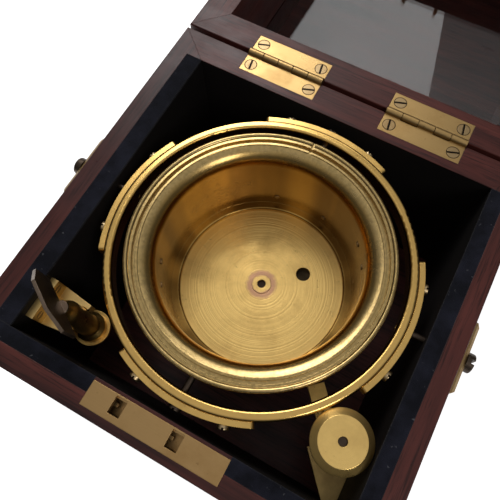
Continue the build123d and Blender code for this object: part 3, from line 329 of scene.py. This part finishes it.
def painted_inside_shade(graph, colour, cloud):
    """The colour with painted shade inside the case, near black with lighter dusty patches, and a
    mask that is 1 there.
    """
    # The near-black painted shade inside the case, and its lighter dusty patches.
    stain = tuple(settings().inside_shade_colour)
    x, y, z = graph.split(graph.place())
    low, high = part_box("velvet_left"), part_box("velvet_right")
    in_x = graph.between(x, low[1].x - SHADE_MARGIN, high[0].x + SHADE_MARGIN)
    in_y = graph.between(y, low[0].y - SHADE_MARGIN, low[1].y + SHADE_MARGIN)
    below = graph.maths("LESS_THAN", z, CASE_TOP - SHADE_DROP)
    inside = graph.times(below, graph.times(in_x, in_y))
    dusty_shade = graph.mix(graph.span(cloud, 0.45, 0.7, 0, 0.6), stain, toned(stain, 2.2))
    return graph.mix(inside, colour, dusty_shade), inside


def mahogany(name, grain, inside=False):
    """French-polished mahogany with its grain along one axis; the case's inside gets painted shade.
    """
    look = settings()
    graph = Finish(name)
    dark, light = tuple(look.wood_dark), tuple(look.wood_light)
    across = 1 / look.wood_figure
    figure_scale = by_grain(grain, across / FIGURE_STRETCH, across)
    pore_scale = by_grain(grain, across / PORES_ALONG, across * PORES_ACROSS)
    cloud = graph.patches(22, 3)
    figure = graph.noise(graph.place(figure_scale), 0.35, 6, 0.62)
    pores = graph.noise(graph.place(pore_scale), 0.5, 3, 0.7)

    tone = graph.maths("ADD", graph.times(figure, 0.9), graph.times(cloud, 0.18))
    colour = graph.ramp(tone, (0.34, dark), (0.72, light))
    pore_mask = graph.times(graph.span(pores, 0.50, 0.66), 0.7)
    colour = graph.mix(pore_mask, colour, toned(dark, 0.5))
    rounded, edges = graph.worn_edges(look.edge_rounding)
    rubbed = graph.times(edges, graph.span(graph.patches(90, 3), 0.4, 0.62))
    colour = graph.mix(graph.times(rubbed, 0.35), colour, RUBBED_WOOD)

    smears = graph.noise(graph.place((35, 60, 60)), 1, 5, 0.65)
    roughness = graph.span(smears, 0.3, 0.7, 0.26, 0.48)
    # Painted shade inside the case, where the wood is also rougher.
    if inside:
        colour, inside_shade_mask = painted_inside_shade(graph, colour, cloud)
        roughness = graph.span(inside_shade_mask, 0, 1, roughness, 0.75)
    normal = graph.bump(pores, 0.00012, 0.35, rounded)
    return graph.complete(colour, roughness, normal, Coat_Weight=0.05, Coat_Roughness=0.25,
                          Specular_IOR_Level=0.22)


def velvet(name):
    """Dark worn velvet with a short nap, dust, lint and bare edges."""
    graph = Finish(name)
    pile = tuple(settings().velvet_colour)
    nap = graph.patches(2600, 3, 0.7)
    dust = graph.span(graph.patches(70, 5, 0.6), 0.42, 0.66)
    colour = graph.mix(dust, pile, toned(pile, 2.6))
    lint = graph.span(graph.patches(420, 2), 0.70, 0.78, 0, 0.5)
    colour = graph.mix(lint, colour, LINT)
    rounded, edges = graph.worn_edges(VELVET_EDGE)
    colour = graph.mix(graph.times(edges, 0.18), colour, BARE_PILE)
    normal = graph.bump(nap, 0.0004, 0.8, rounded)
    return graph.complete(colour, 0.95, normal, Sheen_Weight=0.06, Sheen_Roughness=0.45,
                          Specular_IOR_Level=0.15)


def tool_lines(graph, grain, lines, x, y, z, reach):
    """Fine lines of the lathe or the file, as noise that is stretched along the grain."""
    if grain == "rings":
        parts = {"X": graph.times(reach, lines), "Y": graph.times(z, lines / 4)}
    elif grain == "bands":
        parts = {"X": graph.times(z, lines), "Y": graph.times(graph.maths("ARCTAN2", y, x), 3)}
    else:
        scale_x, scale_y, scale_z = by_grain(grain, LINES_ALONG_GRAIN, lines)
        parts = {"X": graph.times(x, scale_x), "Y": graph.times(y, scale_y),
                 "Z": graph.times(z, scale_z)}
    stretched = graph.add("ShaderNodeCombineXYZ", **parts).outputs[0]
    return graph.noise(stretched, 1, 3, 0.6)


def dulled(graph, tint, reach, start, blotch, spots):
    """Olive tarnish from a radius outwards."""
    ragged = graph.maths("ADD", reach, graph.span(blotch, 0.3, 0.7, -DULL_RAGGED, DULL_RAGGED))
    outside = graph.span(ragged, start, start + DULL_FADE)
    olive = graph.mix(graph.span(spots, 0.35, 0.62), OLIVE_DARK, OLIVE_LIGHT)
    return graph.mix(graph.times(outside, 0.85), tint, olive)


def haloed(graph, tint, reach, radii, spots):
    """A rosy stain between two radii."""
    inner = [radii[0] + fade for fade in HALO_INNER_FADE]
    outer = [radii[1] + fade for fade in HALO_OUTER_FADE]
    ragged = graph.maths("ADD", reach, graph.span(spots, 0.3, 0.7, -HALO_RAGGED, HALO_RAGGED))
    within = graph.times(graph.span(ragged, *inner), graph.span(ragged, *outer, 1, 0))
    return graph.mix(graph.times(within, 0.75), tint, ROSY_STAIN)


def painted_reflection_streaks(graph, tint, x, y, reach, end, strength):
    """Painted reflections: dark brown streaks out from the middle as far as a radius, standing for
    streaky reflections up a turned wall.
    """
    turn = graph.add("ShaderNodeCombineXYZ", X=graph.maths("DIVIDE", x, reach),
                     Y=graph.maths("DIVIDE", y, reach)).outputs[0]
    shade = graph.span(graph.noise(turn, 1.9, 2, 0.45), 0.40, 0.60, strength, 0)
    inside = graph.maths("LESS_THAN", reach, end)
    return graph.mix(graph.times(shade, inside), tint, PAINTED_REFLECTION_BROWN)


def shadowed_screws(graph, tint, x, y, places):
    """Painted shade in the slots and painted shadow around the edges where the heads of screws stand.
    """
    nearest = 1.0
    for place in places:
        nearest = graph.maths("MINIMUM", nearest, graph.distance(x, y, place))
    edge = [SCREW_HEAD + fade for fade in SHADOW_FADE]
    return graph.mix(graph.span(nearest, *edge, 1, 0), tint, SCREW_SHADOW)


def brass(name, grain=None, *, roughness, stain, centre=(0, 0, 0), grain_strength=0.5, colour=None,
          dark=None, lines=TOOL_LINES, relief=LINE_DEPTH, dull_from=None, halo=None, streaks=0.0,
          screw_places=(), grime=False):
    """Brass or steel with tool lines, tarnish, spots and worn edges.

    The grain is 'rings' about an upright axis at the centre, 'bands' up a turned wall, 'X' or 'Y'
    for straight lines, or nothing for fine spots. Stain is the share of tarnish, with colour and
    dark for the metal and its tarnish. The metal is dull outside the radius dull_from, and painted
    reflections, dark brown streaks up a turned wall, end there. Halo gives the two radii of a rosy
    stain, and screw_places the middles of screw heads, whose slots get painted shade and whose
    outlines get painted shadow. With grime, edges are dark, and otherwise they are bright.
    """
    look = settings()
    graph = Finish(name)
    base = tuple(colour or look.brass_colour)
    tarnish = tuple(dark or look.brass_stain)
    x, y, z = graph.split(graph.place(origin=centre))
    reach = graph.length(x, y)
    scratches = tool_lines(graph, grain, lines, x, y, z, reach)
    blotch = graph.patches(55, 6, 0.65)
    spots = graph.patches(600, 3, 0.6)

    tint = graph.mix(graph.times(graph.span(blotch, 0.48, 0.72), stain), base, tarnish)
    tint = graph.mix(graph.span(spots, 0.66, 0.74, 0, stain), tint, toned(tarnish, 0.5))
    lined = graph.span(scratches, 0.35, 0.65, 0.18 * grain_strength, 0)
    tint = graph.mix(lined, tint, toned(base, 0.55))
    if dull_from:
        tint = dulled(graph, tint, reach, dull_from, blotch, spots)
    if halo:
        tint = haloed(graph, tint, reach, halo, spots)
    # Painted reflections: dark brown streaks up a turned wall.
    if streaks:
        tint = painted_reflection_streaks(graph, tint, x, y, reach, dull_from, streaks)
    # Painted shade in the screw slots and painted shadow around the heads.
    if screw_places:
        tint = shadowed_screws(graph, tint, x, y, screw_places)
    rounded, edges = graph.worn_edges(look.edge_rounding * 0.7)
    if grime:
        tint = graph.mix(graph.times(edges, 0.9), tint, EDGE_GRIME)
    else:
        tint = graph.mix(graph.times(edges, 0.35), tint, toned(base, 1.15))

    rough = graph.maths("ADD", graph.span(blotch, 0.3, 0.7, roughness * 0.8, roughness * 1.35),
                        graph.span(scratches, 0.3, 0.7, 0, 0.10 * grain_strength))
    normal = graph.bump(scratches, relief, grain_strength, rounded)
    return graph.complete(tint, rough, normal, Metallic=1.0)


def dress_brass(names, title, grain=None, **finish):
    """Gives CAD nodes a brass of their own."""
    dress(names, brass(title, grain, **finish))


def upright_axis(low, high):
    """Where the upright axis through the middle of a box stands."""
    return ((low.x + high.x) / 2, (low.y + high.y) / 2, 0)


def hinge_screw_places():
    """Middles of the screw heads in the case's two hinges."""
    low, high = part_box("case_hinge_leaves")
    pin_low, pin_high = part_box("case_hinge_pins")
    axis_y = (pin_low.y + pin_high.y) / 2
    places = []
    for left_end in (low.x, high.x - HINGE_LENGTH):
        for x in (left_end + SCREW_INSET, left_end + HINGE_LENGTH - SCREW_INSET):
            places += [(x, axis_y - SCREW_REACH), (x, axis_y + SCREW_REACH)]
    return places


class CHRONOMETER_OT_woodwork(bpy.types.Operator):
    """Finishes the boards of the case, the glazed section and the lid in mahogany"""

    bl_idname = "chronometer.woodwork"
    bl_label = "Mahogany Boards"

    def execute(self, context):
        dress(CASE_WALLS_X, mahogany("case_mahogany_x", "X", inside=True))
        dress(CASE_WALLS_Y, mahogany("case_mahogany_y", "Y", inside=True))
        dress(BOARDS_X, mahogany("mahogany_x", "X"))
        dress(BOARDS_Y, mahogany("mahogany_y", "Y"))
        dress(["glass_beading"], mahogany("beading_mahogany", "X"))
        return {"FINISHED"}


class CHRONOMETER_OT_velvet(bpy.types.Operator):
    """Covers the edge strips with worn velvet"""

    bl_idname = "chronometer.velvet"
    bl_label = "Velvet Strips"

    def execute(self, context):
        dress(VELVETS, velvet("worn_velvet"))
        return {"FINISHED"}


class CHRONOMETER_OT_bowl(bpy.types.Operator):
    """Finishes the bowl, its floor, its small screws and the dust shutter"""

    bl_idname = "chronometer.bowl"
    bl_label = "Turned Bowl"

    def execute(self, context):
        # The bowl's wall gets painted reflections as dark brown streaks.
        dress_brass(["bowl_body"], "turned_bowl", "bands", roughness=0.20, stain=0.5,
                    grain_strength=0.45, dull_from=0.0465, streaks=0.85,
                    colour=(0.60, 0.36, 0.095))
        dress_brass(["bowl_floor"], "turned_floor", "rings", roughness=0.30, stain=0.35,
                    grain_strength=0.9, lines=1500, relief=0.00012, halo=(0.0046, 0.0078),
                    colour=(0.86, 0.575, 0.195))
        dress_brass(["bowl_screws"], "dark_screw_ends", roughness=0.4, stain=0.9,
                    colour=(0.30, 0.20, 0.10))
        dress_brass(["shutter_stud"], "stud_steel", roughness=0.4, stain=0.9,
                    colour=(0.05, 0.032, 0.022), dark=(0.012, 0.009, 0.008))
        # The dust shutter under the winding hole is painted near black: painted shade seen through
        # the hole.
        dress_brass(["dust_shutter"], "shutter_painted_shade", "rings", roughness=0.45, stain=0.8,
                    colour=(0.07, 0.05, 0.028), dark=(0.02, 0.014, 0.010))
        return {"FINISHED"}


class CHRONOMETER_OT_gimbal(bpy.types.Operator):
    """Finishes the gimbal ring with its plates, screws and pivots"""

    bl_idname = "chronometer.gimbal"
    bl_label = "Gimbal Ring"

    def execute(self, context):
        dress_brass(["gimbal_ring"], "ring_brass", "rings", roughness=0.16, stain=0.3,
                    grain_strength=0.35)
        dress_brass(["ring_plates"], "ring_plate_brass", "bands", roughness=0.24, stain=0.5)
        dress_brass(["ring_plate_screws"], "bright_screws", roughness=0.28, stain=0.6,
                    colour=(0.50, 0.37, 0.20))
        dress_brass(["ring_pivots", "bowl_pivots"], "pivot_steel", roughness=0.35, stain=0.7,
                    colour=(0.075, 0.055, 0.04), dark=STEEL_STAIN)
        return {"FINISHED"}


class CHRONOMETER_OT_fittings(bpy.types.Operator):
    """Finishes hinges, lock, plates, screws, key and holder, and the gimbal lock"""

    bl_idname = "chronometer.fittings"
    bl_label = "Brass Fittings"

    def execute(self, context):
        dress_brass(["case_hinge_leaves", "section_hinge_leaves", "lid_hinge_leaves"],
                    "hinge_brass", "X", roughness=0.30, stain=0.45, grain_strength=0.6,
                    colour=(0.44, 0.285, 0.115), screw_places=hinge_screw_places())
        dress_brass(["case_hinge_screws", "section_screws"], "hinge_screw_brass", "X",
                    roughness=0.32, stain=0.7, colour=(0.36, 0.25, 0.125), grime=True)
        dress_brass(["lid_hinge_screws", "case_hinge_pins", "lid_hinge_pins", "pivot_plate_screws",
                     "lock_shelf_screws", "key_holder_screws"], "old_screws", "X",
                    roughness=0.36, stain=0.8, colour=(0.22, 0.15, 0.08), grime=True)
        dress_brass(["lock_plate", "link_plate", "lock_case", "lock_bolt"], "lock_brass", "X",
                    roughness=0.34, stain=0.4, grain_strength=0.6, colour=(0.44, 0.275, 0.115))
        dress_brass(["pivot_plates"], "dull_plates", "Y", roughness=0.42, stain=0.9,
                    colour=(0.30, 0.20, 0.09))
        dress_brass(["key_holder", "lock_shelf", "gimbal_lock_nut"], "holder_brass",
                    roughness=0.38, stain=0.5, colour=(0.66, 0.46, 0.18))

        key_axis = upright_axis(*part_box("key_barrel"))
        dress_brass(["key_barrel"], "key_brass", "rings", centre=key_axis, roughness=0.28,
                    stain=0.5)
        dress_brass(["key_grip"], "browned_steel", "X", roughness=0.34, stain=0.7,
                    colour=tuple(settings().steel_colour), dark=STEEL_STAIN)

        knob_axis = upright_axis(*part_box("gimbal_lock_knob"))
        dress_brass(["gimbal_lock_knob"], "knob_brass", "rings", centre=knob_axis, roughness=0.26,
                    stain=0.3, colour=(0.92, 0.62, 0.21))
        dress_brass(["gimbal_lock_arm"], "arm_brass", roughness=0.30, stain=0.5)
        dress_brass(["gimbal_lock_spindle"], "spindle_steel", "rings", centre=knob_axis,
                    roughness=0.35, stain=0.6, colour=(0.09, 0.065, 0.045), dark=STEEL_STAIN)
        return {"FINISHED"}


class CHRONOMETER_OT_pane(bpy.types.Operator):
    """Makes the pane of clear old glass"""

    bl_idname = "chronometer.pane"
    bl_label = "Glass Pane"

    def execute(self, context):
        graph = Finish("pane_glass")
        ripple = graph.noise(graph.place((12, 18, 12)), 1, 2, 0.4)
        smears = graph.noise(graph.place((40, 90, 40)), 1, 4, 0.6)
        graph.complete(GLASS_COLOUR, graph.span(smears, 0.45, 0.75, 0.0, 0.06),
                       graph.bump(ripple, 0.0004, 0.25), Transmission_Weight=1.0, IOR=1.5)
        dress(["section_glass"], graph.material)
        return {"FINISHED"}


def white_floor():
    """A broad floor that looks white to the camera, in metal and through glass."""
    signs = ((-1, -1), (1, -1), (1, 1), (-1, 1))
    corners = [(x * FLOOR_REACH, y * FLOOR_REACH, 0) for x, y in signs]
    mesh = bpy.data.meshes.new("floor")
    mesh.from_pydata(corners, [], [(0, 1, 2, 3)])
    floor = bpy.data.objects.new("floor", mesh)
    floor.location.z = -FLOOR_DROP
    bpy.context.scene.collection.objects.link(floor)
    graph = Finish("floor_white")
    rays = graph.add("ShaderNodeLightPath").outputs
    seen = graph.maths("MAXIMUM", rays["Is Camera Ray"],
                       graph.maths("MAXIMUM", rays["Is Glossy Ray"], rays["Is Transmission Ray"]))
    graph.complete(FLOOR_COLOUR, 0.9, Emission_Color=WHITE)
    graph.feed(graph.shader.inputs["Emission Strength"], graph.times(seen, FLOOR_GLOW))
    mesh.materials.append(graph.material)
    return floor


def studio_world():
    """A world that is bright overhead, dark towards the horizon and white to the camera."""
    world = bpy.data.worlds.new("studio")
    world.use_nodes = True
    bpy.context.scene.world = world
    graph = Graph(world.node_tree)
    background = graph.tree.nodes["Background"]
    background.inputs["Color"].default_value = WHITE
    height = graph.split(graph.add("ShaderNodeTexCoord").outputs["Generated"])["Z"]
    ceiling = graph.span(height, 0.45, 0.98, 0.08, 0.56)
    camera_ray = graph.add("ShaderNodeLightPath").outputs["Is Camera Ray"]
    graph.feed(background.inputs["Strength"], graph.maths("MAXIMUM", camera_ray, ceiling))


def soft_lamp(name, place, aim, sides, power):
    """A rectangular studio lamp that looks at a point."""
    data = bpy.data.lights.new(name, "AREA")
    data.shape = "RECTANGLE"
    data.size, data.size_y = sides
    data.energy = power
    lamp = bpy.data.objects.new(name, data)
    lamp.location = place
    lamp.rotation_euler = (Vector(aim) - Vector(place)).to_track_quat("-Z", "Y").to_euler()
    bpy.context.scene.collection.objects.link(lamp)


def photo_camera():
    """The camera at the photograph's viewing angle."""
    azimuth, elevation, roll = map(math.radians, (CAMERA_AZIMUTH, CAMERA_ELEVATION, CAMERA_ROLL))
    back = Vector((math.sin(azimuth) * math.cos(elevation),
                   -math.cos(azimuth) * math.cos(elevation), math.sin(elevation)))
    side = (-back).cross(Vector((0, 0, 1))).normalized()
    up = side.cross(-back)
    right = math.cos(roll) * side + math.sin(roll) * up
    top = math.cos(roll) * up - math.sin(roll) * side
    data = bpy.data.cameras.new("camera")
    data.sensor_width = CAMERA_SENSOR
    data.lens = CAMERA_LENS
    data.shift_x = CAMERA_SHIFT
    data.clip_start = CAMERA_NEAR
    camera = bpy.data.objects.new("camera", data)
    turn = Matrix((right, top, back)).transposed().to_4x4()
    camera.matrix_world = Matrix.Translation(Vector(CAMERA_TARGET) + CAMERA_DISTANCE * back) @ turn
    bpy.context.scene.collection.objects.link(camera)
    bpy.context.scene.camera = camera


class CHRONOMETER_OT_stage(bpy.types.Operator):
    """Sets up the white floor, the soft lamps, the world and the camera"""

    bl_idname = "chronometer.stage"
    bl_label = "Studio and Camera"

    def execute(self, context):
        context.scene.view_settings.view_transform = "Standard"
        floor = white_floor()
        studio_world()
        for lamp in LAMPS:
            soft_lamp(*lamp)
        photo_camera()
        return {"FINISHED"}


OPERATORS = (
    CHRONOMETER_OT_woodwork,
    CHRONOMETER_OT_velvet,
    CHRONOMETER_OT_bowl,
    CHRONOMETER_OT_gimbal,
    CHRONOMETER_OT_fittings,
    CHRONOMETER_OT_pane,
    CHRONOMETER_OT_stage,
)


class CHRONOMETER_PT_panel(bpy.types.Panel):
    """Lists the finishing steps and the settings"""

    bl_label = "Chronometer"
    bl_idname = "CHRONOMETER_PT_panel"
    bl_space_type = "VIEW_3D"
    bl_region_type = "UI"
    bl_category = "Chronometer"

    def draw(self, context):
        look = context.scene.chronometer
        for name in look.bl_rna.properties.keys():
            if name not in {"rna_type", "name"}:
                self.layout.prop(look, name)
        for operator in OPERATORS:
            self.layout.operator(operator.bl_idname)


CLASSES = (ChronometerSettings, *OPERATORS, CHRONOMETER_PT_panel)


def register():
    """Registers the classes and the settings."""
    for cls in CLASSES:
        bpy.utils.register_class(cls)
    bpy.types.Scene.chronometer = PointerProperty(type=ChronometerSettings)


def unregister():
    """Removes the settings and the classes."""
    del bpy.types.Scene.chronometer
    for cls in reversed(CLASSES):
        bpy.utils.unregister_class(cls)


def main():
    """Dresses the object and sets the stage."""
    register()
    bpy.ops.chronometer.woodwork()
    bpy.ops.chronometer.velvet()
    bpy.ops.chronometer.bowl()
    bpy.ops.chronometer.gimbal()
    bpy.ops.chronometer.fittings()
    bpy.ops.chronometer.pane()
    bpy.ops.chronometer.stage()


if __name__ == "__main__":
    main()
